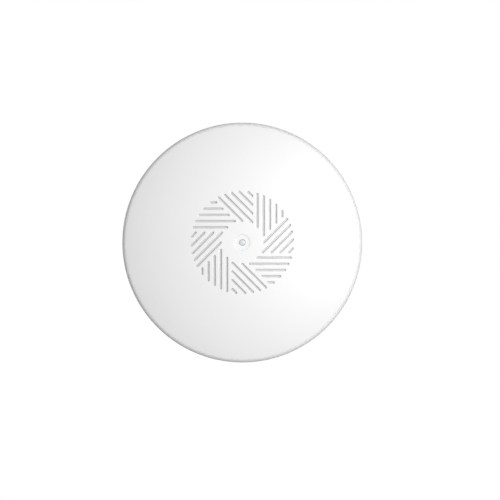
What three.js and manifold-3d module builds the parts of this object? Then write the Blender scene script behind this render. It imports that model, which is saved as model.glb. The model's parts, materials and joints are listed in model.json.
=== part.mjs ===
// A round ceiling access point, locked on its mounting bracket by a bayonet.
// Millimetres, +Z up. The origin is the centre of the bracket's ceiling face: z = 0 is the ceiling, and
// the domed face looks down into the room. The cable bay opens towards the ceiling; its sockets face -Y.
import * as THREE from "three";
import { mergeVertices } from "three/addons/utils/BufferGeometryUtils.js";
import Module from "manifold-3d";

const wasm = await Module();
wasm.setup();

// ---- Driving dimensions -----------------------------------------------------------------------------
const HOUSING_R = 100; // widest radius, at the seam
const HEIGHT = 38; // ceiling to the lowest point of the domed face
const WALL = 2.2;
const GAP = 0.3; // clearance between pieces that are assembled
const SEAM_Z = -14; // top edge of the front cover
const REAR_Z = -1; // rear face of the housing, just off the ceiling
const ROUND = 48; // segments of the large turned shells

// Domed face: its slope grows steadily with the radius, and a little faster near the rim.
const DOME_BOW = 0.00093;
const DOME_ROLL = 1.53e-7;
const DOME_R = 96.04;
const RIM_FILLET = 4.6;
const RIM_DRAFT = 0.026; // radians
const FIELD_R = 60; // the grooves lie well inside this ring
const DOME_RINGS = [22, 44, FIELD_R, 74, 86, DOME_R];

// Pinwheel of grooves in the middle of the face: eight fans of parallel grooves, each turned by 45 degrees.
const FANS = 8;
const GROOVES_PER_FAN = 5;
const GROOVE_FIRST = 12.5; // first groove's distance from the centre
const GROOVE_PITCH = 5.1;
const GROOVE_WIDTH = 1.8;
const GROOVE_DEPTH = 1.4;
const PINWHEEL_R = 41.8;
const PINWHEEL_EYE_R = 17.8; // no groove's centre line comes nearer to the middle
const FAN_EDGE = 8.1; // each fan stops at this distance, measured along the next fan's normal

const LENS_R = 2.5;
const BEZEL_R = 7;
const BEZEL_DEPTH = 0.4;

// Rear shell: a quarter-ellipse flank, a round pocket for the bracket and a deeper bay for the cables.
const REAR_FLAT_R = 90;
const FLANK_R = 99.8;
const POCKET_R = 63.5;
const POCKET_Z = -5.8;
const POCKET_FLOOR = 2;
const TONGUE = { outer: 97.3, inner: 95.3, z: -17 };
const BAY = { x: 31, y0: -47, y1: 5, z: -22.6, wall: 1.8 };
const TRENCH = { x: 7, z: -11.6, wall: 1.8 };
const VENT = { r0: 68.5, r1: 86, width: 2, stepDeg: 5.5 };
const CASE_SCREW = { r: 80, seatZ: -10, bossR: 5.6, bossZ: -15.5 };

// Bayonet: the housing's lugs sit above the bracket's tabs.
const BAYONET = { angles: [45, 135, 225, 315], halfDeg: 10, lugInnerR: 58.6, tabR: 62 };
const LUG = { top: REAR_Z, bottom: -2.8 };
const TAB = { top: -3.1, bottom: -4.8 };
const UNLOCK_DEG = 26;
const DETENT = { r: 46, bumpR: 1.2, bumpZ: -6.4, trackZ: -6.9 };

const BRACKET_R = 57.5;
const PLATE = 2.4;
const WINDOW = { x: 22, y0: -44, y1: -14 };
const BRACKET_HOLES_DEG = [30, 150, 210, 330];
const BOX_SCREWS = { spacing: 60.3, slotLength: 10, width: 4 }; // fits a 60 mm ceiling box

// Circuit board and what stands on it.
const BOARD = { r: 74, top: -25.4, bottom: -27 };
const STANDOFF = { x: 46, r: 3.2, pilotR: 1.25 };
const JACK = { x: -12, w: 16, y: BAY.y1, depth: 16, h: 13.4 };
const POWER = { x: 8, w: 9, depth: 14, h: 11, mouthR: 3.2 };
const RESET = { x: 21, z: -20.5, buttonR: 1.3, travel: 0.4 };

// ---- Finishes ---------------------------------------------------------------------------------------
const finish = (color, roughness, metalness = 0) =>
  new THREE.MeshStandardMaterial({ color, roughness, metalness });
const WHITE = finish(0xf4f4f2, 0.45);
const OFF_WHITE = finish(0xe9e9e6, 0.55);
const MILKY = finish(0xdfe0ea, 0.3);
const BOARD_GREEN = finish(0x1f5a3c, 0.5);
const BLACK = finish(0x1b1b1d, 0.55);
const TINNED = finish(0xc9cbcc, 0.35, 1);
const ALUMINIUM = finish(0xb9bcc0, 0.45, 1);
const GOLD = finish(0xd9b35a, 0.3, 1);
const STEEL = finish(0xa8abad, 0.35, 1);
const PAD_GREY = finish(0x8a93a0, 0.9);
const PAPER = finish(0xf2f2ee, 0.8);
const FERRITE = finish(0x3a3b3f, 0.7);
const SLEEVE = finish(0x2d3038, 0.4);

// ---- Shape helpers ----------------------------------------------------------------------------------
const rad = THREE.MathUtils.degToRad;
const point = (x, y) => new THREE.Vector2(x, y);

// A geometry as a manifold-3d solid. A geometry whose faces point in is turned inside out first.
function solid(geometry) {
  const bare = geometry.index ? geometry.toNonIndexed() : geometry.clone();
  bare.deleteAttribute("normal");
  bare.deleteAttribute("uv");
  const merged = mergeVertices(bare, 1e-4);
  const triVerts = new Uint32Array(merged.index.array);
  const vertProperties = merged.attributes.position.array;
  const make = () => new wasm.Manifold(new wasm.Mesh({ numProp: 3, vertProperties, triVerts }));
  const made = make();
  if (made.volume() > 0) return made;
  for (let i = 0; i < triVerts.length; i += 3) {
    [triVerts[i + 1], triVerts[i + 2]] = [triVerts[i + 2], triVerts[i + 1]];
  }
  return make();
}

function geometryOf(manifold) {
  const mesh = manifold.getMesh();
  const geometry = new THREE.BufferGeometry();
  geometry.setAttribute("position", new THREE.BufferAttribute(mesh.vertProperties, 3));
  geometry.setIndex(new THREE.BufferAttribute(mesh.triVerts, 1));
  geometry.computeVertexNormals();
  return geometry;
}

const join = (...solids) => solids.reduce((a, b) => a.add(b));
const cut = (body, ...tools) => tools.reduce((a, b) => a.subtract(b), body);

// A profile of [radius, z] pairs turned about the Z axis.
function turned(profile, segments = ROUND) {
  const points = profile.map(([r, z]) => point(r, z));
  if (points[0].x > 0) points.push(points[0].clone());
  return solid(new THREE.LatheGeometry(points, segments).rotateX(Math.PI / 2));
}

function prism(shape, z0, z1, curveSegments = 12) {
  const options = { depth: z1 - z0, bevelEnabled: false, curveSegments };
  return solid(new THREE.ExtrudeGeometry(shape, options).translate(0, 0, z0));
}

function box(x0, x1, y0, y1, z0, z1) {
  const geometry = new THREE.BoxGeometry(x1 - x0, y1 - y0, z1 - z0);
  return solid(geometry.translate((x0 + x1) / 2, (y0 + y1) / 2, (z0 + z1) / 2));
}

// A plain block on a base plane, centred on x, y.
const block = (x, y, w, d, z0, z1) => box(x - w / 2, x + w / 2, y - d / 2, y + d / 2, z0, z1);

function rod(x, y, r, z0, z1, segments = 24) {
  const geometry = new THREE.CylinderGeometry(r, r, z1 - z0, segments).rotateX(Math.PI / 2);
  return solid(geometry.translate(x, y, (z0 + z1) / 2));
}

function rodAlongY(x, z, r, y0, y1, segments = 24) {
  return solid(new THREE.CylinderGeometry(r, r, y1 - y0, segments).translate(x, (y0 + y1) / 2, z));
}

// Rounded rectangle, centred on x, y.
function roundedRect(x, y, w, d, r) {
  const shape = new THREE.Shape();
  shape.absarc(x + w / 2 - r, y + d / 2 - r, r, 0, Math.PI / 2);
  shape.absarc(x - w / 2 + r, y + d / 2 - r, r, Math.PI / 2, Math.PI);
  shape.absarc(x - w / 2 + r, y - d / 2 + r, r, Math.PI, 1.5 * Math.PI);
  shape.absarc(x + w / 2 - r, y - d / 2 + r, r, 1.5 * Math.PI, 2 * Math.PI);
  return shape;
}

// Slot with round ends from a to b.
function slotShape(a, b, width) {
  const angle = Math.atan2(b.y - a.y, b.x - a.x);
  const shape = new THREE.Shape();
  shape.absarc(b.x, b.y, width / 2, angle - Math.PI / 2, angle + Math.PI / 2);
  shape.absarc(a.x, a.y, width / 2, angle + Math.PI / 2, angle + 1.5 * Math.PI);
  return shape;
}

function ringSector(r0, r1, startDeg, endDeg) {
  const shape = new THREE.Shape();
  shape.absarc(0, 0, r1, rad(startDeg), rad(endDeg), false);
  shape.absarc(0, 0, r0, rad(endDeg), rad(startDeg), true);
  return shape;
}

const polar = (r, deg) => point(r * Math.cos(rad(deg)), r * Math.sin(rad(deg)));

const root = new THREE.Group();

function piece(name, shape, material, parent = root) {
  const mesh = new THREE.Mesh(shape.isBufferGeometry ? shape : geometryOf(shape), material);
  mesh.name = name;
  parent.add(mesh);
  return mesh;
}

// ---- Front cover ------------------------------------------------------------------------------------
const faceZ = (r) => -HEIGHT + (DOME_BOW * r ** 2) / 2 + (DOME_ROLL * r ** 4) / 4;
const faceSlope = (r) => Math.atan(DOME_BOW * r + DOME_ROLL * r ** 3);

function rimFillet() {
  const slope = faceSlope(DOME_R);
  const centre = point(DOME_R - RIM_FILLET * Math.sin(slope), faceZ(DOME_R) + RIM_FILLET * Math.cos(slope));
  const from = slope - Math.PI / 2;
  const steps = 4;
  return Array.from({ length: steps }, (_, i) => {
    const angle = from + ((-RIM_DRAFT - from) * (i + 1)) / steps;
    return [centre.x + RIM_FILLET * Math.cos(angle), centre.y + RIM_FILLET * Math.sin(angle)];
  });
}

// The end points of each groove: from the pinwheel's rim inwards to the eye or to the next fan.
function grooveLines() {
  const lines = [];
  for (let fan = 0; fan < FANS; fan++) {
    const normalDeg = fan * 45;
    for (let i = 0; i < GROOVES_PER_FAN; i++) {
      const offset = GROOVE_FIRST + i * GROOVE_PITCH;
      const outer = -Math.sqrt(PINWHEEL_R ** 2 - offset ** 2);
      // A point at t along the groove is (offset + t) / sqrt 2 from the centre, along the next fan's normal.
      const atNextFan = FAN_EDGE * Math.SQRT2 - offset;
      const atEye = offset < PINWHEEL_EYE_R ? -Math.sqrt(PINWHEEL_EYE_R ** 2 - offset ** 2) : Infinity;
      const inner = Math.min(atNextFan, atEye);
      const normal = polar(1, normalDeg);
      const along = polar(1, normalDeg + 90);
      const at = (t) => point(normal.x * offset + along.x * t, normal.y * offset + along.y * t);
      lines.push([at(outer), at(inner)]);
    }
  }
  return lines;
}

function frontCover() {
  const outside = [[LENS_R + 0.2, faceZ(0) + BEZEL_DEPTH], [BEZEL_R - 0.4, faceZ(0) + BEZEL_DEPTH]];
  outside.push([BEZEL_R, faceZ(BEZEL_R)], ...DOME_RINGS.map((r) => [r, faceZ(r)]), ...rimFillet());
  outside.push([HOUSING_R, SEAM_Z]);
  const sideR = TONGUE.outer + GAP;
  const inside = [[sideR, SEAM_Z], [sideR, faceZ(DOME_R) + 4.6], [sideR - 2.4, faceZ(DOME_R) + WALL]];
  inside.push(...[86, 66, 40].map((r) => [r, faceZ(r) + WALL]), [LENS_R + 0.2, faceZ(0) + WALL]);
  const shell = turned([...outside, ...inside]);

  const above = -30;
  const outlines = grooveLines().map(([a, b]) => slotShape(a, b, GROOVE_WIDTH));
  const slots = outlines.map((outline) => prism(outline, -HEIGHT - 1, above - 1, 2));
  const floor = [0, ...DOME_RINGS.filter((r) => r <= FIELD_R)].map((r) => [r, faceZ(r) + GROOVE_DEPTH]);
  const aboveFloor = turned([...floor, [FIELD_R, above], [0, above]], 20);

  const posts = [45, 135, 225, 315].map((deg) => {
    const at = polar(CASE_SCREW.r, deg);
    const base = faceZ(CASE_SCREW.r) + 1;
    const pilot = rod(at.x, at.y, 1.6, CASE_SCREW.bossZ - 12, 0, 12);
    return cut(rod(at.x, at.y, 4, base, CASE_SCREW.bossZ - 0.2, 20), pilot);
  });
  return join(cut(shell, cut(join(...slots), aboveFloor)), ...posts);
}

function lightPipe() {
  const seat = faceZ(0) + WALL + 0.1;
  return turned(
    [
      [0, -HEIGHT],
      [LENS_R - 0.6, -HEIGHT + 0.12],
      [LENS_R, -HEIGHT + 0.45],
      [LENS_R, seat],
      [4.2, seat],
      [4.2, seat + 1],
      [1.8, seat + 2],
      [1.8, BOARD.bottom - 1.1],
      [0, BOARD.bottom - 1.1],
    ],
    18,
  );
}

// ---- Rear shell -------------------------------------------------------------------------------------
// Quarter ellipse from the seam up to the flat rear face, as [radius, z] pairs.
function flank(flatR, seamR, topZ, baseZ, steps) {
  return Array.from({ length: steps + 1 }, (_, i) => {
    const t = (i * Math.PI) / 2 / steps;
    return [flatR + (seamR - flatR) * Math.cos(t), baseZ + (topZ - baseZ) * Math.sin(t)];
  });
}

function ventSlots() {
  const slots = [];
  for (const centreDeg of [0, 90, 180, 270]) {
    for (let k = -4; k <= 4; k++) {
      if (centreDeg === 270 && Math.abs(k) < 2) continue; // the cable trench is here
      const deg = centreDeg + k * VENT.stepDeg;
      slots.push(prism(slotShape(polar(VENT.r0, deg), polar(VENT.r1, deg), VENT.width), REAR_Z - 3, 1, 2));
    }
  }
  return slots;
}

function rearShell() {
  const seamTop = SEAM_Z + 0.4;
  const innerR = REAR_FLAT_R - 2;
  const pocketBack = POCKET_R + WALL;
  const outside = [[0, POCKET_Z], [POCKET_R, POCKET_Z], [POCKET_R, REAR_Z]];
  outside.push(...flank(REAR_FLAT_R, FLANK_R, REAR_Z, seamTop, 6).reverse());
  const tongue = [[TONGUE.outer, seamTop], [TONGUE.outer, TONGUE.z], [TONGUE.inner, TONGUE.z]];
  const inside = flank(innerR, TONGUE.inner, REAR_Z - WALL, seamTop, 3);
  const pocketInside = [[pocketBack, REAR_Z - WALL], [pocketBack, POCKET_Z - POCKET_FLOOR]];
  const shell = turned([...outside, ...tongue, ...inside, ...pocketInside, [0, POCKET_Z - POCKET_FLOOR]]);

  const bayCentreY = (BAY.y0 + BAY.y1) / 2;
  const bayLength = BAY.y1 - BAY.y0;
  const tub = roundedRect(0, bayCentreY, 2 * (BAY.x + BAY.wall), bayLength + 2 * BAY.wall, 5);
  const bayVoid = roundedRect(0, bayCentreY, 2 * BAY.x, bayLength, 3.2);
  const trenchHalf = TRENCH.x + TRENCH.wall;
  const trenchOuter = cut(
    box(-trenchHalf, trenchHalf, -97, BAY.y0, TRENCH.z - TRENCH.wall, REAR_Z - 0.5),
    rod(0, 0, POCKET_R, POCKET_Z, 1, ROUND),
  );
  const trenchVoid = box(-TRENCH.x, TRENCH.x, -HOUSING_R - 1, BAY.y0 + 5, TRENCH.z, 1);
  const envelope = turned([[0, -40], ...flank(REAR_FLAT_R, FLANK_R, REAR_Z, seamTop, 6), [0, REAR_Z]]);

  const lugs = BAYONET.angles.map((deg) => {
    const arc = ringSector(BAYONET.lugInnerR, POCKET_R + 1, deg - BAYONET.halfDeg, deg + BAYONET.halfDeg);
    return prism(arc, LUG.bottom, LUG.top, 3);
  });
  const bosses = [45, 135, 225, 315].map((deg) => {
    const at = polar(CASE_SCREW.r, deg);
    return rod(at.x, at.y, CASE_SCREW.bossR, CASE_SCREW.bossZ, REAR_Z - 1, 20);
  });
  const standoff = (at) => rod(at.x, at.y, STANDOFF.r, BOARD.top, POCKET_Z - 1, 16);
  const body = join(
    shell,
    prism(tub, BAY.z - BAY.wall, POCKET_Z - 0.5, 4),
    trenchOuter.intersect(envelope),
    ...lugs,
    ...bosses,
    ...corners(STANDOFF.x).map(standoff),
  );

  const caseHoles = [45, 135, 225, 315].map((deg) => {
    const at = polar(CASE_SCREW.r, deg);
    return join(rod(at.x, at.y, 3.8, CASE_SCREW.seatZ, 1, 20), rod(at.x, at.y, 1.7, -20, 1, 12));
  });
  const pilots = corners(STANDOFF.x).map((at) => rod(at.x, at.y, STANDOFF.pilotR, -40, BOARD.top + 9, 12));
  const track = ringSector(DETENT.r - 1.9, DETENT.r + 1.9, 86, 90 + UNLOCK_DEG + 4);
  const jackWindow = block(JACK.x, BAY.y1, JACK.w + 0.6, 8, BOARD.top - 1, BOARD.top + JACK.h + 0.3);
  const powerWindow = block(POWER.x, BAY.y1, POWER.w + 0.6, 8, BOARD.top - 1, BOARD.top + POWER.h + 0.3);
  const resetHole = rodAlongY(RESET.x, RESET.z, RESET.buttonR + 0.35, BAY.y1 - 2, BAY.y1 + 3, 20);
  return cut(
    body,
    prism(bayVoid, BAY.z, 1, 4),
    trenchVoid,
    ...caseHoles,
    ...pilots,
    prism(track, DETENT.trackZ, POCKET_Z + 1, 8),
    jackWindow,
    powerWindow,
    resetHole,
    ...ventSlots(),
  );
}

function corners(x) {
  return [point(x, x), point(-x, x), point(-x, -x), point(x, -x)];
}

// ---- Mounting bracket -------------------------------------------------------------------------------
function bracket() {
  const windowY = (WINDOW.y0 + WINDOW.y1) / 2;
  const windowLength = WINDOW.y1 - WINDOW.y0;
  const profile = [[0, 0], [BRACKET_R, 0], [BRACKET_R, TAB.bottom], [BRACKET_R - 3, TAB.bottom]];
  const plate = turned([...profile, [BRACKET_R - 3, -PLATE], [0, -PLATE]]);
  const tabs = BAYONET.angles.flatMap((deg) => {
    const start = deg - BAYONET.halfDeg;
    const end = deg + BAYONET.halfDeg;
    const rim = BRACKET_R - 1;
    const tab = prism(ringSector(rim, BAYONET.tabR, start, end), TAB.bottom, TAB.top, 3);
    const stop = prism(ringSector(rim, BAYONET.tabR, end + 0.4, end + 3), TAB.bottom, -0.7, 2);
    const bridge = prism(ringSector(rim, BAYONET.tabR, end - 0.5, end + 0.8), TAB.bottom, TAB.top, 1);
    return [tab, stop, bridge];
  });

  // Shallow pocket in the ceiling side, between the hub, the ribs and the pads round the holes.
  const holes = BRACKET_HOLES_DEG.map((deg) => polar(DETENT.r, deg));
  const ribs = [0, 45, 90, 135, 180, 225, 315].map((deg) =>
    solid(new THREE.BoxGeometry(60, 2.4, 4).translate(30, 0, 0).rotateZ(rad(deg))),
  );
  const pads = holes.map((at) => rod(at.x, at.y, 6, -2, 2, 12));
  const slotHalf = (BOX_SCREWS.slotLength - BOX_SCREWS.width) / 2;
  const slotAt = (side, width) => {
    const x = (side * BOX_SCREWS.spacing) / 2;
    return slotShape(point(x - slotHalf, 0), point(x + slotHalf, 0), width);
  };
  const slotPads = [-1, 1].map((side) => prism(slotAt(side, BOX_SCREWS.width + 7), -2, 2, 3));
  const frameOfWindow = prism(roundedRect(0, windowY, 2 * WINDOW.x + 5, windowLength + 5, 6), -2, 2, 4);
  const fingerPad = prism(roundedRect(0, 40, 17, 26, 3), -2, 2, 3);
  const shallow = cut(
    turned([[15, 1], [15, -1], [BRACKET_R - 4, -1], [BRACKET_R - 4, 1]]),
    ...ribs,
    ...pads,
    ...slotPads,
    frameOfWindow,
    fingerPad,
  );

  const shanks = holes.map((at) => rod(at.x, at.y, 2, -5, 1, 12));
  const heads = holes.map((at) => rod(at.x, at.y, 3.6, -5, -1.4, 12));
  const slots = [-1, 1].map((side) => prism(slotAt(side, BOX_SCREWS.width), -5, 1, 3));
  // A U-shaped cut frees the finger that carries the detent bump.
  const fingerCut = cut(
    prism(roundedRect(0, 41, 11, 19, 2.5), -5, 1, 3),
    prism(roundedRect(0, 39.2, 8, 19.6, 1.5), -5, 1, 3),
  );
  const bump = rod(0, DETENT.r, DETENT.bumpR, DETENT.bumpZ, -PLATE + 0.5, 12);
  return join(
    cut(
      join(plate, ...tabs),
      shallow,
      prism(roundedRect(0, windowY, 2 * WINDOW.x, windowLength, 4), -5, 1, 4),
      ...shanks,
      ...heads,
      ...slots,
      fingerCut,
    ),
    bump,
  );
}

// ---- Electronics ------------------------------------------------------------------------------------
function mainBoard() {
  const holes = corners(STANDOFF.x).map((at) => rod(at.x, at.y, 1.7, -30, -20, 12));
  return cut(rod(0, 0, BOARD.r, BOARD.bottom, BOARD.top, 48), ...holes);
}

// Finned aluminium block: a base plate with fins along Y.
function finned(x0, x1, y0, y1, z0) {
  const base = 2.5;
  const top = z0 + 10;
  const count = Math.floor((x1 - x0) / 4);
  const pitch = (x1 - x0 - 1.4) / (count - 1);
  const fins = Array.from({ length: count }, (_, i) =>
    box(x0 + i * pitch, x0 + i * pitch + 1.4, y0, y1, z0 + base - 0.2, top),
  );
  return join(box(x0, x1, y0, y1, z0, z0 + base), ...fins);
}

function jackShell() {
  const x0 = JACK.x - JACK.w / 2;
  const x1 = JACK.x + JACK.w / 2;
  const sheet = 0.35;
  const top = BOARD.top + JACK.h;
  const outer = box(x0, x1, JACK.y, JACK.y + JACK.depth, BOARD.top, top);
  const back = JACK.y + JACK.depth - sheet;
  return cut(outer, box(x0 + sheet, x1 - sheet, JACK.y - 1, back, BOARD.top - 1, top - sheet));
}

const SOCKET = { w: 11.9, z0: BOARD.top + 3, z1: BOARD.top + 9.8, depth: 12 };

function jackInsert() {
  const half = JACK.w / 2 - 0.5;
  const front = JACK.y + 0.4;
  const top = BOARD.top + JACK.h - 0.5;
  const body = box(JACK.x - half, JACK.x + half, front, JACK.y + JACK.depth - 0.6, BOARD.top + 0.1, top);
  const cavity = block(JACK.x, front + SOCKET.depth / 2, SOCKET.w, SOCKET.depth + 2, SOCKET.z0, SOCKET.z1);
  const latchSlot = block(JACK.x, front + 4, 6.4, 10, SOCKET.z1 - 0.1, SOCKET.z1 + 2.4);
  const combSeat = block(JACK.x, front + SOCKET.depth, 10.4, 5, SOCKET.z0 + 0.1, SOCKET.z0 + 2.2);
  return cut(body, cavity, latchSlot, combSeat);
}

// Eight slanted contact wires on one moulded comb at the back of the socket.
function jackContacts() {
  const back = JACK.y + 0.4 + SOCKET.depth + 2;
  const comb = block(JACK.x, back - 1, 9.8, 1.6, SOCKET.z0 + 0.4, SOCKET.z0 + 1.8);
  const wires = Array.from({ length: 8 }, (_, i) => {
    const wire = new THREE.BoxGeometry(0.45, 9, 0.35).rotateX(-0.12);
    return solid(wire.translate(JACK.x - 3.57 + i * 1.02, back - 6, SOCKET.z0 + 1.2));
  });
  return join(comb, ...wires);
}

const powerMouthZ = BOARD.top + 5.6;

function powerJack() {
  const middleY = BAY.y1 + POWER.depth / 2;
  const body = block(POWER.x, middleY, POWER.w, POWER.depth, BOARD.top, BOARD.top + POWER.h);
  const mouth = rodAlongY(POWER.x, powerMouthZ, POWER.mouthR, BAY.y1 - 1, BAY.y1 + 9.5, 24);
  return cut(body, mouth, rodAlongY(POWER.x, powerMouthZ, 1.15, BAY.y1 + 9, BAY.y1 + 12.2, 16));
}

function capacitor(x, y) {
  const foot = BOARD.top;
  const top = foot + 10.8;
  const bung = [[0, foot], [3.8, foot], [4, foot + 0.4], [4, foot + 1.6], [3.7, foot + 2]];
  const can = [[4, foot + 2.4], [4, top - 0.4], [3.6, top], [2.8, top], [2.6, top - 0.2], [0, top - 0.2]];
  return turned([...bung, ...can], 16).translate(x, y, 0);
}

function transformer() {
  const z = BOARD.top;
  const core = block(11, 34, 18, 15, z + 1, z + 12);
  const bobbin = block(11, 34, 12, 19, z, z + 10);
  return join(core, bobbin);
}

// Stamped inverted-F antenna standing on the board's lower face, in its own frame: x along the strip.
function antennaShape(length, width, drop) {
  const t = 0.5;
  const strip = box(-length / 2, length / 2, -width / 2, width / 2, -drop, -drop + t);
  const leg = box(-length / 2, -length / 2 + t, -width / 2, width / 2, -drop, -GAP);
  const feed = box(-length / 2 + 6, -length / 2 + 7.5, -width / 2, -width / 2 + t, -drop, -GAP);
  const notch = box(-length / 2 + 11, length / 2 - 3, width / 2 - 2.2, width / 2 - 1.2, -drop - 1, 0);
  return cut(join(strip, leg, feed), notch);
}

// Coaxial lead from an antenna's feed to its plug, along the board's lower face.
function leadGeometry(feedX, feedY, plugY) {
  const r = 0.6;
  const z = -r - 0.25;
  const way = [
    [feedX, feedY, z],
    [feedX, feedY - 3, z],
    [feedX * 0.75, feedY - 8, z],
    [feedX * 0.3, feedY - 13, z],
    [0, plugY + 7, z],
    [0, plugY + 1.9, z],
  ];
  const path = new THREE.CatmullRomCurve3(way.map(([x, y, h]) => new THREE.Vector3(x, y, h)));
  const section = new THREE.Shape(Array.from({ length: 6 }, (_, i) => polar(r, i * 60)));
  return new THREE.ExtrudeGeometry(section, { steps: 9, bevelEnabled: false, extrudePath: path });
}

const ANTENNAS = [
  { name: "2g_north", deg: 0, length: 32, width: 8, drop: 5 },
  { name: "5g_east", deg: -90, length: 20, width: 7, drop: 4.4 },
  { name: "2g_south", deg: 180, length: 32, width: 8, drop: 5 },
  { name: "5g_west", deg: 90, length: 20, width: 7, drop: 4.4 },
];
const ANTENNA_R = 63;
const PLUG_R = 34;

function addAntennas() {
  for (const { name, deg, length, width, drop } of ANTENNAS) {
    const group = new THREE.Group();
    group.position.set(0, 0, BOARD.bottom);
    group.rotation.z = rad(deg);
    root.add(group);
    const antenna = piece("antenna_" + name, antennaShape(length, width, drop), TINNED, group);
    antenna.position.set(0, ANTENNA_R, 0);
    const feedX = -length / 2 + 6.75;
    piece("antenna_lead_" + name, leadGeometry(feedX, ANTENNA_R - width / 2 - GAP, PLUG_R), SLEEVE, group);
    const plug = piece("antenna_plug_" + name, new THREE.CylinderGeometry(1.4, 1.5, 1.3, 12), GOLD, group);
    plug.rotation.x = Math.PI / 2;
    plug.position.set(0, PLUG_R, -0.65 - GAP);
  }
}

// Pan-head screw, in its own frame: the head hangs below z = 0 and the shank runs up from it.
function screwShape(headR, headH, shankR, length) {
  const profile = [[0, -headH], [headR * 0.7, -headH], [headR, -headH * 0.55], [headR, 0], [shankR, 0]];
  profile.push([shankR, length - 1], [shankR * 0.4, length], [0, length]);
  const cross = block(0, 0, headR * 1.1, 0.6, -headH - 1, -headH * 0.45);
  return cut(turned(profile, 12), cross);
}

function addScrews() {
  const caseScrew = geometryOf(screwShape(2.9, 2.2, 1.4, 13));
  const boardScrew = geometryOf(screwShape(2.6, 1.7, 1.05, 8));
  [45, 135, 225, 315].forEach((deg, i) => {
    const at = polar(CASE_SCREW.r, deg);
    const screw = piece("housing_screw_" + (i + 1), caseScrew, STEEL);
    screw.position.set(at.x, at.y, CASE_SCREW.seatZ + 0.05);
    screw.rotation.x = Math.PI;
  });
  corners(STANDOFF.x).forEach((at, i) => {
    const screw = piece("board_screw_" + (i + 1), boardScrew, STEEL);
    screw.position.set(at.x, at.y, BOARD.bottom - 0.05);
  });
}

// ---- Assembly ---------------------------------------------------------------------------------------
piece("mounting_bracket", bracket(), OFF_WHITE);
piece("rear_shell", rearShell(), WHITE);
piece("front_cover", frontCover(), WHITE);
piece("light_pipe", lightPipe(), MILKY);
piece("rating_label", prism(roundedRect(0, -29, 44, 24, 1.5), BAY.z + 0.02, BAY.z + 0.2, 3), PAPER);

const top = BOARD.top;
piece("main_board", mainBoard(), BOARD_GREEN);
piece("status_led", block(0, 0, 2, 1.6, BOARD.bottom - 0.8, BOARD.bottom), MILKY);
piece("processor_chip", block(-53, 6, 17, 17, top, top + 1.6), BLACK);
piece("memory_chip", block(-53, -15, 9, 13, top, top + 1.2), BLACK);
piece("flash_chip", block(-53, 22, 8, 6, top, top + 1.2), BLACK);
piece("clock_crystal", block(-40.5, -12, 5, 3.2, top, top + 0.9), TINNED);
piece("network_magnetics", block(-13, 31, 16, 11, top, top + 6), BLACK);
piece("poe_transformer", transformer(), FERRITE);
piece("power_inductor", block(-13, 45, 10, 10, top, top + 5), FERRITE);
piece("bulk_capacitor_1", capacitor(28, 29), BLACK);
piece("bulk_capacitor_2", capacitor(28, 40), BLACK);

for (const [band, y] of [["2g", -15], ["5g", 13]]) {
  piece("radio_chip_" + band, block(52, y, 8, 8, top, top + 1), BLACK);
  const can = cut(block(52, y, 24, 24, top, top + 3.2), block(52, y, 23.4, 23.4, top - 1, top + 2.9));
  piece("shield_can_" + band, can, TINNED);
  piece("thermal_pad_" + band, block(52, y, 20, 20, top + 3.2, top + 4.2), PAD_GREY);
}
piece("radio_heat_sink", finned(39, 65, -28, 26, top + 4.2), ALUMINIUM);
piece("thermal_pad_processor", block(-53, 6, 17, 17, top + 1.6, top + 2.6), PAD_GREY);
piece("processor_heat_sink", finned(-67, -39, -22, 27, top + 2.6), ALUMINIUM);

piece("network_jack_shell", jackShell(), TINNED);
piece("network_jack_insert", jackInsert(), BLACK);
piece("network_jack_contacts", jackContacts(), GOLD);
piece("power_jack", powerJack(), BLACK);
piece("power_jack_pin", rodAlongY(POWER.x, powerMouthZ, 1, BAY.y1 + 1, BAY.y1 + 12, 16), TINNED);
const switchFace = BAY.y1 + 5.5;
piece("reset_switch", box(RESET.x - 3, RESET.x + 3, switchFace, switchFace + 4, top, top + 7), BLACK);
const buttonBack = switchFace - RESET.travel - 0.1;
const button = join(
  rodAlongY(RESET.x, RESET.z, RESET.buttonR, BAY.y1 + 0.4, buttonBack, 20),
  rodAlongY(RESET.x, RESET.z, RESET.buttonR + 0.8, buttonBack - 1, buttonBack, 20),
);
piece("reset_button", button, BLACK);

addAntennas();
addScrews();

export default root;
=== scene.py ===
"""Ceiling access point: its look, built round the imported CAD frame. +Z is up; the domed face looks down."""
import json
import math

import bmesh
import bpy
from mathutils import Matrix, Vector
from mathutils.geometry import delaunay_2d_cdt


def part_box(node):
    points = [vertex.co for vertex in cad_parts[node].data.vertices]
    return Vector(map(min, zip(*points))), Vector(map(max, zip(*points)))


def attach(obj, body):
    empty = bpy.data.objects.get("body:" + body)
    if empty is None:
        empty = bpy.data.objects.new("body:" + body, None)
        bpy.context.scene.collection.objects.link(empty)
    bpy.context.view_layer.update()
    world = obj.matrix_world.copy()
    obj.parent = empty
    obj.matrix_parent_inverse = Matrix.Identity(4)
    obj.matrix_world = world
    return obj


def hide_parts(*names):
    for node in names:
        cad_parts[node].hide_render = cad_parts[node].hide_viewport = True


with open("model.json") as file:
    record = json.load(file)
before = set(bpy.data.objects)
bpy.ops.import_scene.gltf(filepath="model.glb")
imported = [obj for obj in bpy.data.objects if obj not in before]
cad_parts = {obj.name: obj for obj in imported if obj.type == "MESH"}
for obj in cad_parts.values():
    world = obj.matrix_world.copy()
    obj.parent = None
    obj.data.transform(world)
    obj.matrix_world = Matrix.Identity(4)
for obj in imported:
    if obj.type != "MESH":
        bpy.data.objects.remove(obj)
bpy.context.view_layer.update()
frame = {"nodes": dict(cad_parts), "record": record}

MM = 0.001
SEGMENTS = 192  # round the large turned shells

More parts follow.
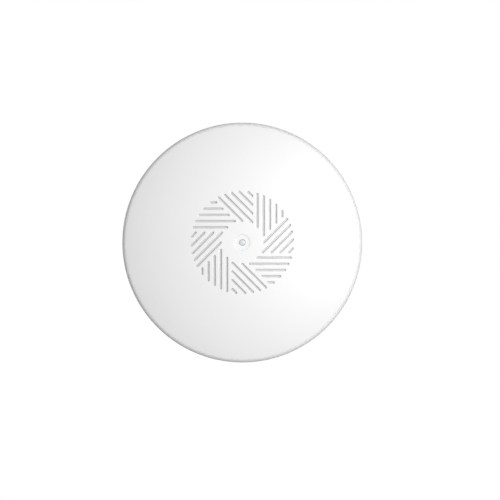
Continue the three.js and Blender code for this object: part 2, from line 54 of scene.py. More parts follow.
# All lengths below are in millimetres. They repeat the CAD part's driving dimensions.
FACE_R = (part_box("front_cover")[1].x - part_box("front_cover")[0].x) / 2 / MM
FACE_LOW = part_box("light_pipe")[0].z / MM
SEAM_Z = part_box("front_cover")[1].z / MM
DOME_BOW, DOME_ROLL, DOME_R = 0.00093, 1.53e-7, 96.04
WALL = 2.2
RIM_FILLET, RIM_DRAFT = 4.6, 0.026
TONGUE_R, TONGUE_IN_R, TONGUE_Z = 97.3, 95.3, -17.0

FANS, GROOVES_PER_FAN = 8, 5
GROOVE_FIRST, GROOVE_PITCH, GROOVE_WIDTH, GROOVE_DEPTH = 12.5, 5.1, 1.8, 1.4
GROOVE_LIP, GROOVE_FLOOR_ROUND, GROOVE_DRAFT = 0.1, 0.35, 0.04
MOUTH_HALF = GROOVE_WIDTH / 2 + GROOVE_LIP
PINWHEEL_R, EYE_R, FAN_EDGE = 41.8, 17.8, 8.1
FIELD_R = 46.0  # the grooved field ends here and the plain dome begins

LENS_R, LENS_GAP = 2.5, 0.15
BEZEL_R, BEZEL_DEPTH = 7.0, 0.4
RECESS_LIP_R = BEZEL_R + 0.35

REAR_Z, REAR_FLAT_R, FLANK_R = -1.0, 90.0, 99.8
POCKET_R, POCKET_Z, POCKET_FLOOR = 63.5, -5.8, 2.0
BAY = {"x": 31.0, "y0": -47.0, "y1": 5.0, "z": -22.6, "wall": 1.8, "corner": 3.2}
TRENCH_X, TRENCH_Z, TRENCH_WALL = 7.0, -11.6, 1.8
VENT_R0, VENT_R1, VENT_W, VENT_STEP = 68.5, 86.0, 2.0, 5.5
VENT_GROUPS, VENTS_EACH_SIDE, TRENCH_DEGREES = (0, 90, 180, 270), 4, 270
SCREW_R, SCREW_SEAT_Z, BOSS_R, BOSS_Z = 80.0, -10.0, 5.6, -15.5
BORE_R, SCREW_HOLE_R, PILOT_R = 3.8, 1.7, 1.25
CORNER_DEGREES = (45, 135, 225, 315)
BOARD_TOP = -25.4
STANDOFF_XY, STANDOFF_R = 46.0, 3.2
JACK_X, JACK_W, JACK_H = -12.0, 16.0, 13.4
POWER_X, POWER_W, POWER_H = 8.0, 9.0, 11.0
RESET_X, RESET_Z, RESET_HOLE_R = 21.0, -20.5, 1.65
LUG_HALF_DEG, LUG_INNER_R, LUG_BOTTOM = 10, 58.6, -2.8
TAB_R, TAB_TOP, TAB_BOTTOM, STOP_TOP = 62.0, -3.1, -4.8, -0.7
TRACK_R, TRACK_HALF, TRACK_Z, TRACK_DEG = 46.0, 1.9, -6.9, (86, 120)

BRACKET_R, PLATE, SKIRT = 57.5, 2.4, 3.0
WINDOW = {"x": 22.0, "y0": -44.0, "y1": -14.0, "corner": 4.0}
FINGER = {"x": 4.0, "y0": 29.4, "y1": 49.0, "corner": 1.5}
FINGER_SLOT = {"x": 5.5, "y0": 31.5, "y1": 50.5, "corner": 2.5}
FINGER_PAD = {"x": 8.5, "y0": 27.0, "y1": 53.0, "corner": 3.0}
BRACKET_HOLE_RING, BRACKET_HOLE_DEGREES = 46.0, (30, 150, 210, 330)
BRACKET_HOLE_R, COUNTERSINK_R, COUNTERSINK_Z = 2.0, 3.6, -1.4
SLOT_SPACING, SLOT_HALF, SLOT_W = 60.3, 3.0, 4.0
RIB_DEGREES = (0, 45, 90, 135, 180, 225, 315)

# Lays a prism that was drawn in x, -z and raised along y into place.
ROLL_TO_Y = Matrix(((1, 0, 0, 0), (0, 0, 1, 0), (0, -1, 0, 0), (0, 0, 0, 1)))


# ---- Mesh building -----------------------------------------------------------------------------------------
class Surface:
    """Collects faces by their corners in millimetres. Corners that coincide are shared."""

    def __init__(self):
        self.index = {}
        self.points = []
        self.faces = []

    def corner(self, point):
        key = tuple(round(c, 4) + 0.0 for c in point)
        if key not in self.index:
            self.index[key] = len(self.points)
            self.points.append(point)
        return self.index[key]

    def face(self, *corners):
        ids = [self.corner(p) for p in corners]
        ids = [i for k, i in enumerate(ids) if i != ids[k - 1]]
        if len(set(ids)) > 2:
            self.faces.append(ids)

    def skin(self, loops, caps=True):
        for low, high in zip(loops, loops[1:]):
            for i in range(len(low)):
                j = (i + 1) % len(low)
                self.face(low[i], low[j], high[j], high[i])
        if caps:
            self.face(*loops[0])
            self.face(*reversed(loops[-1]))

    def turn(self, profile, segments=SEGMENTS, centre=(0, 0)):
        loops = [[(x, y, z) for x, y in circle(centre, r, segments)] for r, z in profile]
        self.skin(loops, caps=False)

    def build(self, name):
        mesh = bpy.data.meshes.new(name)
        mesh.from_pydata([[c * MM for c in p] for p in self.points], [], self.faces)
        bm = bmesh.new()
        bm.from_mesh(mesh)
        bmesh.ops.recalc_face_normals(bm, faces=bm.faces)
        bm.to_mesh(mesh)
        bm.free()
        piece = bpy.data.objects.new(name, mesh)
        bpy.context.collection.objects.link(piece)
        return piece


def polar(r, degrees):
    return (r * math.cos(math.radians(degrees)), r * math.sin(math.radians(degrees)))


def circle(centre, r, segments):
    turns = [2 * math.pi * i / segments for i in range(segments)]
    return [(centre[0] + r * math.cos(t), centre[1] + r * math.sin(t)) for t in turns]


def arc(centre, r, start, end, steps):
    turns = [math.radians(start + (end - start) * i / steps) for i in range(steps + 1)]
    return [(centre[0] + r * math.cos(t), centre[1] + r * math.sin(t)) for t in turns]


def capsule(a, b, r, along, steps=8):
    """Outline at distance r from the segment a-b: along steps down each side, half a turn round each end."""
    heading = math.degrees(math.atan2(b[1] - a[1], b[0] - a[0]))
    ends = arc(b, r, heading - 90, heading + 90, steps), arc(a, r, heading + 90, heading + 270, steps)
    outline = []
    for here, there in (ends, ends[::-1]):
        outline += here[:-1]
        start, stop = here[-1], there[0]
        outline += [tuple(s + (e - s) * i / along for s, e in zip(start, stop)) for i in range(along)]
    return outline


def rounded(x0, x1, y0, y1, r, grow=0.0, steps=6):
    """Rounded rectangle, grown outwards by grow."""
    r += grow
    x0, x1, y0, y1 = x0 - grow + r, x1 + grow - r, y0 - grow + r, y1 + grow - r
    corners = [((x1, y1), 0), ((x0, y1), 90), ((x0, y0), 180), ((x1, y0), 270)]
    return [p for centre, start in corners for p in arc(centre, r, start, start + 90, steps)]


def opening(shape, grow=0.0):
    """The outline of a rounded opening that is given by its half width, ends and corner radius."""
    return rounded(-shape["x"], shape["x"], shape["y0"], shape["y1"], shape["corner"], grow)


def sector(r0, r1, start, end, steps=12):
    return arc((0, 0), r1, start, end, steps) + arc((0, 0), r0, end, start, steps)


def level(outline, z):
    return [(x, y, z) for x, y in outline]


def prism(name, outline, z0, z1):
    surface = Surface()
    surface.skin([level(outline, z0), level(outline, z1)])
    return surface.build(name)


def box(name, x0, x1, y0, y1, z0, z1):
    return prism(name, [(x0, y0), (x1, y0), (x1, y1), (x0, y1)], z0, z1)


def turned(name, profile, segments=SEGMENTS, centre=(0, 0)):
    surface = Surface()
    surface.turn(profile, segments, centre)
    return surface.build(name)


def mouthed(name, outline, top, bottom, lip):
    """A cutter that goes down from top and whose mouth flares over a round lip.
    outline(grow) gives the hole's outline, grown outwards."""
    steps, rise, clear = 4, 1, 0.004
    loops = [level(outline(lip), top + rise), level(outline(lip), top + clear)]
    for i in range(1, steps + 1):
        t = math.pi / 2 * i / steps
        loops.append(level(outline(lip * (1 - math.sin(t))), top - lip * (1 - math.cos(t))))
    loops.append(level(outline(0), bottom))
    surface = Surface()
    surface.skin(loops)
    return surface.build(name)


def combined(target, operation, *tools):
    """Applies booleans to target. The tools are used up."""
    for tool in tools:
        step = target.modifiers.new("step", "BOOLEAN")
        step.operation = operation
        step.solver = "MANIFOLD"
        step.object = tool
    bpy.context.view_layer.update()
    done = target.evaluated_get(bpy.context.evaluated_depsgraph_get())
    mesh = bpy.data.meshes.new_from_object(done)
    target.modifiers.clear()
    spent = target.data
    target.data = mesh
    bpy.data.meshes.remove(spent)
    for tool in tools:
        bpy.data.meshes.remove(tool.data)
    return target


def soften(piece, degrees, weighted=True):
    """Smooth shading that keeps edges sharper than the angle. weighted keeps flat faces flat."""
    piece.data.shade_smooth()
    piece.data.set_sharp_from_angle(angle=math.radians(degrees))
    if weighted:
        normals = piece.modifiers.new("flat faces", "WEIGHTED_NORMAL")
        normals.keep_sharp = True
    return piece


# ---- Materials ---------------------------------------------------------------------------------------------
def ramp_to(nodes, links, value, low, high):
    spread = nodes.new("ShaderNodeMapRange")
    spread.inputs["To Min"].default_value = low
    spread.inputs["To Max"].default_value = high
    links.new(value, spread.inputs["Value"])
    return spread.outputs["Result"]


def noise(nodes, links, coordinates, scale, detail=3.0):
    texture = nodes.new("ShaderNodeTexNoise")
    texture.inputs["Scale"].default_value = scale
    texture.inputs["Detail"].default_value = detail
    links.new(coordinates, texture.inputs["Vector"])
    return texture.outputs["Fac"]


def finish(name, colour, rough, metallic=0.0, shade=0.03, rough_spread=0.05, grain=2500.0, grain_mm=0.004,
           stretch=(1, 1, 1), coat=0.0, subsurface=0.0):
    """A surface with slow colour and gloss variation and a fine grain.
    stretch lays the grain along an axis."""
    patch_scale, least_rough = 25.0, 0.02
    material = bpy.data.materials.new(name)
    material.use_nodes = True
    nodes, links = material.node_tree.nodes, material.node_tree.links
    shader = nodes["Principled BSDF"]
    where = nodes.new("ShaderNodeTexCoord").outputs["Object"]
    mapping = nodes.new("ShaderNodeMapping")
    mapping.inputs["Scale"].default_value = stretch
    links.new(where, mapping.inputs["Vector"])

    patches = noise(nodes, links, where, patch_scale)
    mix = nodes.new("ShaderNodeMix")
    mix.data_type = "RGBA"
    mix.inputs["A"].default_value = (*[c * (1 - shade) for c in colour], 1)
    mix.inputs["B"].default_value = (*[min(1, c * (1 + shade)) for c in colour], 1)
    links.new(patches, mix.inputs["Factor"])
    links.new(mix.outputs["Result"], shader.inputs["Base Color"])

    fine = noise(nodes, links, mapping.outputs["Vector"], grain, 2.0)
    both = nodes.new("ShaderNodeMath")
    both.operation = "ADD"
    links.new(patches, both.inputs[0])
    links.new(fine, both.inputs[1])
    halved = nodes.new("ShaderNodeMath")
    halved.operation = "MULTIPLY"
    halved.inputs[1].default_value = 0.5
    links.new(both.outputs[0], halved.inputs[0])
    smoothest, roughest = max(least_rough, rough - rough_spread), min(1, rough + rough_spread)
    links.new(ramp_to(nodes, links, halved.outputs[0], smoothest, roughest), shader.inputs["Roughness"])
    bump = nodes.new("ShaderNodeBump")
    bump.inputs["Distance"].default_value = grain_mm * MM
    bump.inputs["Strength"].default_value = 1.0
    links.new(fine, bump.inputs["Height"])
    links.new(bump.outputs["Normal"], shader.inputs["Normal"])

    shader.inputs["Metallic"].default_value = metallic
    if coat:
        shader.inputs["Coat Weight"].default_value = coat
    if subsurface:
        shader.inputs["Subsurface Weight"].default_value = subsurface
        shader.inputs["Subsurface Scale"].default_value = 2 * MM
        shader.inputs["Subsurface Radius"].default_value = (1, 1, 1)
    return material


def object_coordinates(nodes):
    return next(n for n in nodes if n.bl_idname == "ShaderNodeTexCoord").outputs["Object"]


# Painted shade: the light grey that the cover's colour turns to down inside the grooves.
GROOVE_SHADE_GREY = (0.6, 0.6, 0.6)
WHITE_ABS = ((0.82, 0.82, 0.82), 0.42), {"shade": 0.012, "grain": 2200, "grain_mm": 0.0035}


def groove_shaded_finish():
    """The cover's white plastic, with painted shade: it turns light grey down inside the grooves, greyer with
    depth below the face.
    """
    shade_from, shade_at = 0.08, 0.5  # depth below the face in millimetres
    material = finish("white_abs_groove_shade", *WHITE_ABS[0], **WHITE_ABS[1])
    nodes, links = material.node_tree.nodes, material.node_tree.links

    def math_node(operation, a, b):
        node = nodes.new("ShaderNodeMath")
        node.operation = operation
        for socket, value in zip(node.inputs, (a, b)):
            if isinstance(value, float):
                socket.default_value = value
            else:
                links.new(value, socket)
        return node.outputs[0]

    place = nodes.new("ShaderNodeSeparateXYZ")
    links.new(object_coordinates(nodes), place.inputs[0])
    x, y, z = place.outputs
    squared = math_node("ADD", math_node("MULTIPLY", x, x), math_node("MULTIPLY", y, y))
    bow = math_node("MULTIPLY", squared, DOME_BOW / 2 / MM)
    roll = math_node("MULTIPLY", math_node("MULTIPLY", squared, squared), DOME_ROLL / 4 / MM ** 3)
    face = math_node("ADD", math_node("ADD", bow, roll), FACE_LOW * MM)
    depth = nodes.new("ShaderNodeMapRange")
    depth.interpolation_type = "SMOOTHSTEP"
    depth.inputs["From Min"].default_value = shade_from * MM
    depth.inputs["From Max"].default_value = shade_at * MM
    links.new(math_node("SUBTRACT", z, face), depth.inputs["Value"])
    radius = math_node("SQRT", squared, 0.0)
    outside_bezel = math_node("GREATER_THAN", radius, (BEZEL_R + 1) * MM)
    in_field = math_node("MULTIPLY", outside_bezel, math_node("LESS_THAN", radius, FIELD_R * MM))
    # Painted shade: the colour mixes towards the grey by depth below the face, inside the grooved field only.
    shade_mix = nodes.new("ShaderNodeMix")
    shade_mix.data_type = "RGBA"
    shade_mix.inputs["B"].default_value = (*GROOVE_SHADE_GREY, 1)
    colour = nodes["Principled BSDF"].inputs["Base Color"]
    links.new(colour.links[0].from_socket, shade_mix.inputs["A"])
    links.new(math_node("MULTIPLY", depth.outputs["Result"], in_field), shade_mix.inputs["Factor"])
    links.new(shade_mix.outputs["Result"], colour)
    return material


def board_finish():
    """Green solder mask over faint copper tracks and pads."""
    material = finish("solder_mask", (0.03, 0.16, 0.08), 0.35, shade=0.1, coat=0.4)
    nodes, links = material.node_tree.nodes, material.node_tree.links
    shader = nodes["Principled BSDF"]
    cells = nodes.new("ShaderNodeTexVoronoi")
    cells.distance = "MANHATTAN"
    cells.inputs["Scale"].default_value = 160
    links.new(object_coordinates(nodes), cells.inputs["Vector"])
    tracks = nodes.new("ShaderNodeTexWave")
    tracks.wave_type = "BANDS"
    tracks.inputs["Scale"].default_value = 90
    tracks.inputs["Distortion"].default_value = 3.0
    links.new(cells.outputs["Color"], tracks.inputs["Vector"])
    lit = nodes.new("ShaderNodeMix")
    lit.data_type = "RGBA"
    lit.inputs["B"].default_value = (0.06, 0.26, 0.12, 1)
    links.new(shader.inputs["Base Color"].links[0].from_socket, lit.inputs["A"])
    links.new(tracks.outputs["Fac"], lit.inputs["Factor"])
    links.new(lit.outputs["Result"], shader.inputs["Base Color"])
    return material


FINISHES = {
    "white_plastic": finish("white_abs", *WHITE_ABS[0], **WHITE_ABS[1]),
    "bracket_plastic": finish(
        "bracket_abs", (0.76, 0.76, 0.75), 0.55, shade=0.02, rough_spread=0.06, grain=1800, grain_mm=0.006),
    "milky_plastic": finish(
        "milky_acrylic", (0.66, 0.68, 0.70), 0.22, shade=0.02, rough_spread=0.04, grain=3000, grain_mm=0.001,
        subsurface=0.4),
    "led_package": finish("led_resin", (0.85, 0.84, 0.7), 0.2, grain_mm=0.001),
    "board_laminate": board_finish(),
    "chip_epoxy": finish("chip_epoxy", (0.025, 0.025, 0.028), 0.6, shade=0.1, grain=4000, grain_mm=0.006),
    "black_plastic": finish("black_nylon", (0.022, 0.022, 0.023), 0.5, shade=0.1, grain=2600, grain_mm=0.006),
    "capacitor_sleeve": finish(
        "capacitor_sleeve", (0.02, 0.02, 0.03), 0.25, shade=0.08, grain=1500, grain_mm=0.002, coat=0.3),
    "tinned_steel": finish(
        "tinned_steel", (0.62, 0.62, 0.61), 0.3, metallic=1, shade=0.05, grain=900, grain_mm=0.003,
        stretch=(1, 14, 1)),
    "gold_plate": finish(
        "gold_plate", (0.83, 0.6, 0.25), 0.22, metallic=1, shade=0.05, grain=2000, grain_mm=0.001),
    "aluminium_fins": finish(
        "extruded_aluminium", (0.6, 0.61, 0.63), 0.42, metallic=1, shade=0.05, grain=1200, grain_mm=0.005,
        stretch=(12, 1, 12)),
    "screw_steel": finish(
        "zinc_plated_steel", (0.5, 0.51, 0.54), 0.32, metallic=1, shade=0.08, grain=1600, grain_mm=0.004),
    "thermal_pad": finish("thermal_silicone", (0.2, 0.26, 0.36), 0.85, shade=0.08, grain=1500, grain_mm=0.02),
    "label_paper": finish("label_film", (0.58, 0.59, 0.60), 0.38, shade=0.02, grain=1200, grain_mm=0.003),
    "ferrite": finish("ferrite", (0.05, 0.05, 0.053), 0.7, shade=0.15, grain=1800, grain_mm=0.02),
    "coax_sleeve": finish("coax_sleeve", (0.03, 0.032, 0.04), 0.35, shade=0.1, grain=1500, grain_mm=0.003),
}


def dress(piece, material):
    piece.data.materials.clear()
    piece.data.materials.append(material)


def add_piece(piece, body, slot, node, material=None):
    """Puts a finished piece on a body in place of a CAD node."""
    dress(piece, material or FINISHES[slot])
    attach(piece, body)
    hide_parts(node)


# ---- Front cover -------------------------------------------------------------------------------------------
def face_z(r):
    return FACE_LOW + DOME_BOW * r ** 2 / 2 + DOME_ROLL * r ** 4 / 4


def dome_slope(r):
    return math.atan(DOME_BOW * r + DOME_ROLL * r ** 3)


def groove_lines():
    """The end points of each groove's centre line: from the pinwheel's rim in to its eye or the next fan."""
    lines = []
    for fan in range(FANS):
        turn = fan * 360 / FANS
        normal, along = polar(1, turn), polar(1, turn + 90)
        for i in range(GROOVES_PER_FAN):
            offset = GROOVE_FIRST + i * GROOVE_PITCH
            outer = -math.sqrt(PINWHEEL_R ** 2 - offset ** 2)
            inner = FAN_EDGE * math.sqrt(2) - offset
            if offset < EYE_R:
                inner = min(inner, -math.sqrt(EYE_R ** 2 - offset ** 2))
            lines.append([tuple(n * offset + a * t for n, a in zip(normal, along)) for t in (outer, inner)])
    return lines


def groove_section():
    """Distance from the centre line and depth below the face, from the mouth's lip to the floor's round."""
    half, foot, steps = GROOVE_WIDTH / 2, GROOVE_WIDTH / 2 - GROOVE_DRAFT, 3
    turns = [math.pi / 2 * i / steps for i in range(steps + 1)]
    mouth = [(half + GROOVE_LIP * (1 - math.sin(t)), GROOVE_LIP * (1 - math.cos(t))) for t in turns]
    floor = [
        (foot - GROOVE_FLOOR_ROUND * (1 - math.cos(t)), GROOVE_DEPTH - GROOVE_FLOOR_ROUND * (1 - math.sin(t)))
        for t in turns
    ]
    return mouth + floor


def distance_to(point, line):
    (ax, ay), (bx, by) = line
    dx, dy = bx - ax, by - ay
    t = max(0, min(1, ((point[0] - ax) * dx + (point[1] - ay) * dy) / (dx * dx + dy * dy)))
    return math.hypot(point[0] - ax - t * dx, point[1] - ay - t * dy)


def on_face(outline, depth=0.0):
    return [(x, y, face_z(math.hypot(x, y)) + depth) for x, y in outline]


def add_grooves(surface, lines):
    """Sinks each groove into the face, and returns the outlines of their mouths."""
    mouths = []
    ends, step_length = 8, 1.3
    for a, b in lines:
        along = max(4, round(math.dist(a, b) / step_length))
        loops = [on_face(capsule(a, b, d, along, ends), depth) for d, depth in groove_section()]
        surface.skin(loops, caps=False)
        floor = loops[-1]
        half = ends + along
        # The floor: a fan of corners at each end, and a strip between the two straight sides.
        surface.face(*floor[: ends + 1])
        surface.face(*floor[half: half + ends + 1])
        for i in range(along):
            near = floor[ends + i], floor[ends + i + 1]
            far = floor[(2 * half - i - 1) % (2 * half)], floor[(2 * half - i) % (2 * half)]
            surface.face(*near, *far)
        mouths.append(capsule(a, b, MOUTH_HALF, along, ends))
    return mouths


def add_field(surface, lines, mouths):
    """The smooth land between the grooves, out to the plain dome and in to the status light's recess."""
    points, edges, loop_of = [], [], []
    outer = circle((0, 0), FIELD_R, SEGMENTS)
    for number, loop in enumerate([outer, circle((0, 0), RECESS_LIP_R, SEGMENTS), *mouths]):
        first, count = len(points), len(loop)
        points += loop
        edges += [(first + i, first + (i + 1) % count) for i in range(count)]
        loop_of += [number] * count
    spacing, mouth_gap, fewest = 1.6, 0.7, 24
    r = RECESS_LIP_R + spacing
    while r < FIELD_R - spacing / 2:
        for p in circle((0, 0), r, max(fewest, round(2 * math.pi * r / spacing))):
            if min(distance_to(p, line) for line in lines) > MOUTH_HALF + mouth_gap:
                points.append(p)
                loop_of.append(None)
        r += spacing
    _, _, triangles, origins, *_ = delaunay_2d_cdt([Vector(p) for p in points], edges, [], 0, 1e-5)
    for triangle in triangles:
        corners = [origins[i][0] for i in triangle]
        met = {loop_of[i] for i in corners}
        # A triangle with all its corners on one inner loop fills that loop, which is open.
        if len(met) > 1 or met <= {None, 0}:
            surface.face(*on_face([points[i] for i in corners]))


def rim_round(tilt):
    """The point on the rim's round, as radius and height, where the surface has turned outwards by tilt."""
    slope = dome_slope(DOME_R)
    r = DOME_R + RIM_FILLET * (math.sin(tilt) - math.sin(slope))
    return r, face_z(DOME_R) + RIM_FILLET * (math.cos(slope) - math.cos(tilt))


def cover_profile():
    """Outside of the cover from the grooved field to the seam, then inside back to the lens hole."""
    dome_steps, rim_steps = 24, 12
    rings = [FIELD_R + (DOME_R - FIELD_R) * i / dome_steps for i in range(dome_steps + 1)]
    profile = [(r, face_z(r)) for r in rings]
    slope, last = dome_slope(DOME_R), math.pi / 2 - RIM_DRAFT
    profile += [rim_round(slope + (last - slope) * i / rim_steps) for i in range(1, rim_steps + 1)]

    lip = 0.35
    profile.append((FACE_R, SEAM_Z - lip))
    turns = (math.pi / 6, math.pi / 3, math.pi / 2)
    profile += [(FACE_R - lip * (1 - math.cos(t)), SEAM_Z - lip * (1 - math.sin(t))) for t in turns]

    side_r, corner_height, corner_width = TONGUE_R + 0.3, 4.6, 2.4
    profile += [(side_r, SEAM_Z), (side_r, face_z(DOME_R) + corner_height)]
    profile.append((side_r - corner_width, face_z(DOME_R) + WALL))
    inner_rings = range(86, 13, -12)
    profile += [(r, face_z(r) + WALL) for r in inner_rings]

    hole, chamfer = LENS_R + LENS_GAP, 0.15
    top, recess = face_z(0) + WALL, face_z(0) + BEZEL_DEPTH
    foot, foot_width, foot_height = BEZEL_R - 0.9, 0.3, 0.18
    profile += [(hole, top), (hole, recess + chamfer), (hole + chamfer, recess), (foot, recess)]
    foot_steps = 4
    for i in range(1, foot_steps + 1):
        t = math.pi / 2 * i / foot_steps
        profile.append((foot + foot_width * math.sin(t), recess - foot_height * (1 - math.cos(t))))
    # The recess's edge runs out on to the face over a shallow lip.
    profile += [(BEZEL_R - 0.45, face_z(BEZEL_R) + 0.09), (BEZEL_R - 0.2, face_z(BEZEL_R) + 0.03)]
    profile.append((RECESS_LIP_R, face_z(RECESS_LIP_R)))
    return profile


def screw_post(degrees):
    """One of the posts inside the cover that its screws bite into."""
    base, top = face_z(SCREW_R) + 1.2, BOSS_Z - 0.2
    post_r, pilot_r, pilot_depth, chamfer = 4, 1.6, 10, 0.3
    profile = [(0, base), (post_r, base), (post_r, top - chamfer), (post_r - chamfer, top), (pilot_r, top)]
    profile += [(pilot_r, top - pilot_depth), (0, top - pilot_depth)]
    return turned("post", profile, 32, polar(SCREW_R, degrees))


def make_cover():
    surface = Surface()
    lines = groove_lines()
    mouths = add_grooves(surface, lines)
    add_field(surface, lines, mouths)
    surface.turn(cover_profile())
    cover = surface.build("domed_cover")
    combined(cover, "UNION", *[screw_post(degrees) for degrees in CORNER_DEGREES])
    soften(cover, 38, weighted=False)
    # The cover's material paints shade into its grooves.
    add_piece(cover, "housing", "white_plastic", "front_cover", groove_shaded_finish())


def make_lens():
    """The light pipe: a crowned tip in the face, a flange behind it, and a stem to the lamp on the board."""
    tip = [(0, 0), (0.8, 0.015), (1.5, 0.07), (2.1, 0.18), (2.4, 0.33), (LENS_R, 0.55)]
    profile = [(r, FACE_LOW + rise) for r, rise in tip]
    seat, flange_r, flange, chamfer = face_z(0) + WALL + 0.1, 4.2, 1.1, 0.2
    profile += [(LENS_R, seat), (flange_r - chamfer, seat), (flange_r, seat + chamfer)]
    profile += [(flange_r, seat + flange - chamfer), (flange_r - chamfer, seat + flange)]
    stem_r, stem_chamfer, end_z = 1.8, 0.15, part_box("light_pipe")[1].z / MM
    profile += [(stem_r, seat + 2), (stem_r, end_z - stem_chamfer)]
    profile += [(stem_r - stem_chamfer, end_z), (0, end_z)]
    lens = turned("status_lens", profile, 64)
    soften(lens, 40)
    add_piece(lens, "housing", "milky_plastic", "light_pipe")


# ---- Rear shell --------------------------------------------------------------------------------------------
def flank(flat_r, seam_r, top, base, steps):
    """The quarter ellipse from the flat back round to the seam."""
    turns = [math.pi / 2 * i / steps for i in range(steps + 1)]
    return [(flat_r + (seam_r - flat_r) * math.sin(t), base + (top - base) * math.cos(t)) for t in turns]


def rear_profile():
    turns, foot, edge = (0, 0.5, 1.0, math.pi / 2), 0.8, 0.6
    outside = [(0, POCKET_Z)]
    outside += [(POCKET_R - foot * (1 - math.sin(t)), POCKET_Z + foot * (1 - math.cos(t))) for t in turns]
    outside += [(POCKET_R + edge * (1 - math.cos(t)), REAR_Z - edge * (1 - math.sin(t))) for t in turns]
    seam, lip = SEAM_Z + 0.4, 0.4
    outside += flank(REAR_FLAT_R, FLANK_R, REAR_Z, seam + lip, 18)
    outside += [(FLANK_R - 0.1, seam + 0.12), (FLANK_R - lip, seam)]
    chamfer = 0.3
    tongue = [(TONGUE_R, seam), (TONGUE_R, TONGUE_Z + chamfer), (TONGUE_R - chamfer, TONGUE_Z)]
    tongue.append((TONGUE_IN_R, TONGUE_Z))
    inside = flank(REAR_FLAT_R - 2, TONGUE_IN_R, REAR_Z - WALL, seam, 10)[::-1]
    back, floor = POCKET_R + WALL, POCKET_Z - POCKET_FLOOR
    return outside + tongue + inside + [(back, REAR_Z - WALL), (back, floor), (0, floor)]


def vent_cutters():
    cutters, depth, lip, left_out = [], 3, 0.35, (-1, 0, 1)
    for centre in VENT_GROUPS:
        for k in range(-VENTS_EACH_SIDE, VENTS_EACH_SIDE + 1):
            if centre == TRENCH_DEGREES and k in left_out:
                continue  # the cable trench is here
            degrees = centre + k * VENT_STEP
            a, b = polar(VENT_R0, degrees), polar(VENT_R1, degrees)
            outline = lambda grow, a=a, b=b: capsule(a, b, VENT_W / 2 + grow, 2, 10)
            cutters.append(mouthed("vent", outline, REAR_Z, REAR_Z - depth, lip))
    return cutters


def trench_channel():
    """The side trench's floor and walls, cut to the shell's outside."""
    half, outer_end = TRENCH_X + TRENCH_WALL, -99
    channel = box("channel", -half, half, outer_end, BAY["y0"], TRENCH_Z - TRENCH_WALL, REAR_Z - 0.5)
    inset, deep = 0.02, -40  # inset keeps the channel's end just inside the flank
    outline = flank(REAR_FLAT_R, FLANK_R - inset, REAR_Z - inset, SEAM_Z + 0.8, 18)[::-1]
    profile = [(0, deep), (FLANK_R - inset, deep), *outline, (0, REAR_Z - inset)]
    combined(channel, "INTERSECT", turned("envelope", profile))
    combined(channel, "DIFFERENCE", prism("pocket", circle((0, 0), POCKET_R, SEGMENTS), POCKET_Z, 1))
    return channel


def rear_additions():
    """What stands on the turned shell: the trench, the cable bay's tub, the lugs, bosses and standoffs."""
    added = [trench_channel()]
    added.append(prism("tub", opening(BAY, BAY["wall"]), BAY["z"] - BAY["wall"], POCKET_Z - 0.5))
    for degrees in CORNER_DEGREES:
        arc_shape = sector(LUG_INNER_R, POCKET_R + 1, degrees - LUG_HALF_DEG, degrees + LUG_HALF_DEG)
        added.append(prism("lug", arc_shape, LUG_BOTTOM, REAR_Z - 0.001))
        added.append(prism("boss", circle(polar(SCREW_R, degrees), BOSS_R, 40), BOSS_Z, REAR_Z - 1))
        standoff = polar(STANDOFF_XY * math.sqrt(2), degrees)
        added.append(prism("standoff", circle(standoff, STANDOFF_R, 32), BOARD_TOP, POCKET_Z - 1))
    return added


def rear_cutters():
    """What is cut out of it: the bay, the trench, screw bores, the detent track, ports and the reset hole."""
    bay_lip, trench_lip, bore_lip, trench_corner, past_end = 0.6, 0.5, 0.45, 0.6, 5
    y0, y1 = -FACE_R - past_end, BAY["y0"] + past_end
    trench = lambda grow: rounded(-TRENCH_X, TRENCH_X, y0, y1, trench_corner, grow, 3)
    cuts = [mouthed("bay", lambda grow: opening(BAY, grow), POCKET_Z, BAY["z"], bay_lip)]
    cuts.append(mouthed("trench", trench, REAR_Z, TRENCH_Z, trench_lip))
    hole_end, pilot_start, pilot_depth = -20, -40, 9
    for degrees in CORNER_DEGREES:
        centre = polar(SCREW_R, degrees)
        bore = lambda grow, centre=centre: circle(centre, BORE_R + grow, 48)
        cuts.append(mouthed("bore", bore, REAR_Z, SCREW_SEAT_Z, bore_lip))
        cuts.append(prism("hole", circle(centre, SCREW_HOLE_R, 24), hole_end, SCREW_SEAT_Z + 1))
        standoff = polar(STANDOFF_XY * math.sqrt(2), degrees)
        cuts.append(prism("pilot", circle(standoff, PILOT_R, 24), pilot_start, BOARD_TOP + pilot_depth))
    track = sector(TRACK_R - TRACK_HALF, TRACK_R + TRACK_HALF, *TRACK_DEG, 24)
    cuts.append(prism("track", track, TRACK_Z, POCKET_Z + 1))
    y, reach, side_gap, top_gap = BAY["y1"], 4, 0.6, 0.3
    for x, width, height in ((JACK_X, JACK_W, JACK_H), (POWER_X, POWER_W, POWER_H)):
        half, top = (width + side_gap) / 2, BOARD_TOP + height + top_gap
        cuts.append(box("port", x - half, x + half, y - reach, y + reach, BOARD_TOP - 1, top))
    reset = prism("reset", circle((RESET_X, -RESET_Z), RESET_HOLE_R, 32), y - 2, y + 3)
    reset.data.transform(ROLL_TO_Y)
    cuts.append(reset)
    return cuts


def make_rear():
    shell = turned("rear_housing", rear_profile())
    combined(shell, "UNION", *rear_additions())
    combined(shell, "DIFFERENCE", *rear_cutters(), *vent_cutters())
    soften(shell, 34)
    add_piece(shell, "housing", "white_plastic", "rear_shell")


# ---- Mounting bracket --------------------------------------------------------------------------------------
def bracket_profile():
    r, lip, chamfer = BRACKET_R, 0.4, 0.2
    profile = [(0, 0)]
    profile += [(r - lip * (1 - math.sin(t)), -lip * (1 - math.cos(t))) for t in (0, 0.5, 1.0, math.pi / 2)]
    profile += [(r, TAB_BOTTOM + chamfer), (r - chamfer, TAB_BOTTOM), (r - SKIRT + chamfer, TAB_BOTTOM)]
    return profile + [(r - SKIRT, TAB_BOTTOM + chamfer), (r - SKIRT, -PLATE), (0, -PLATE)]


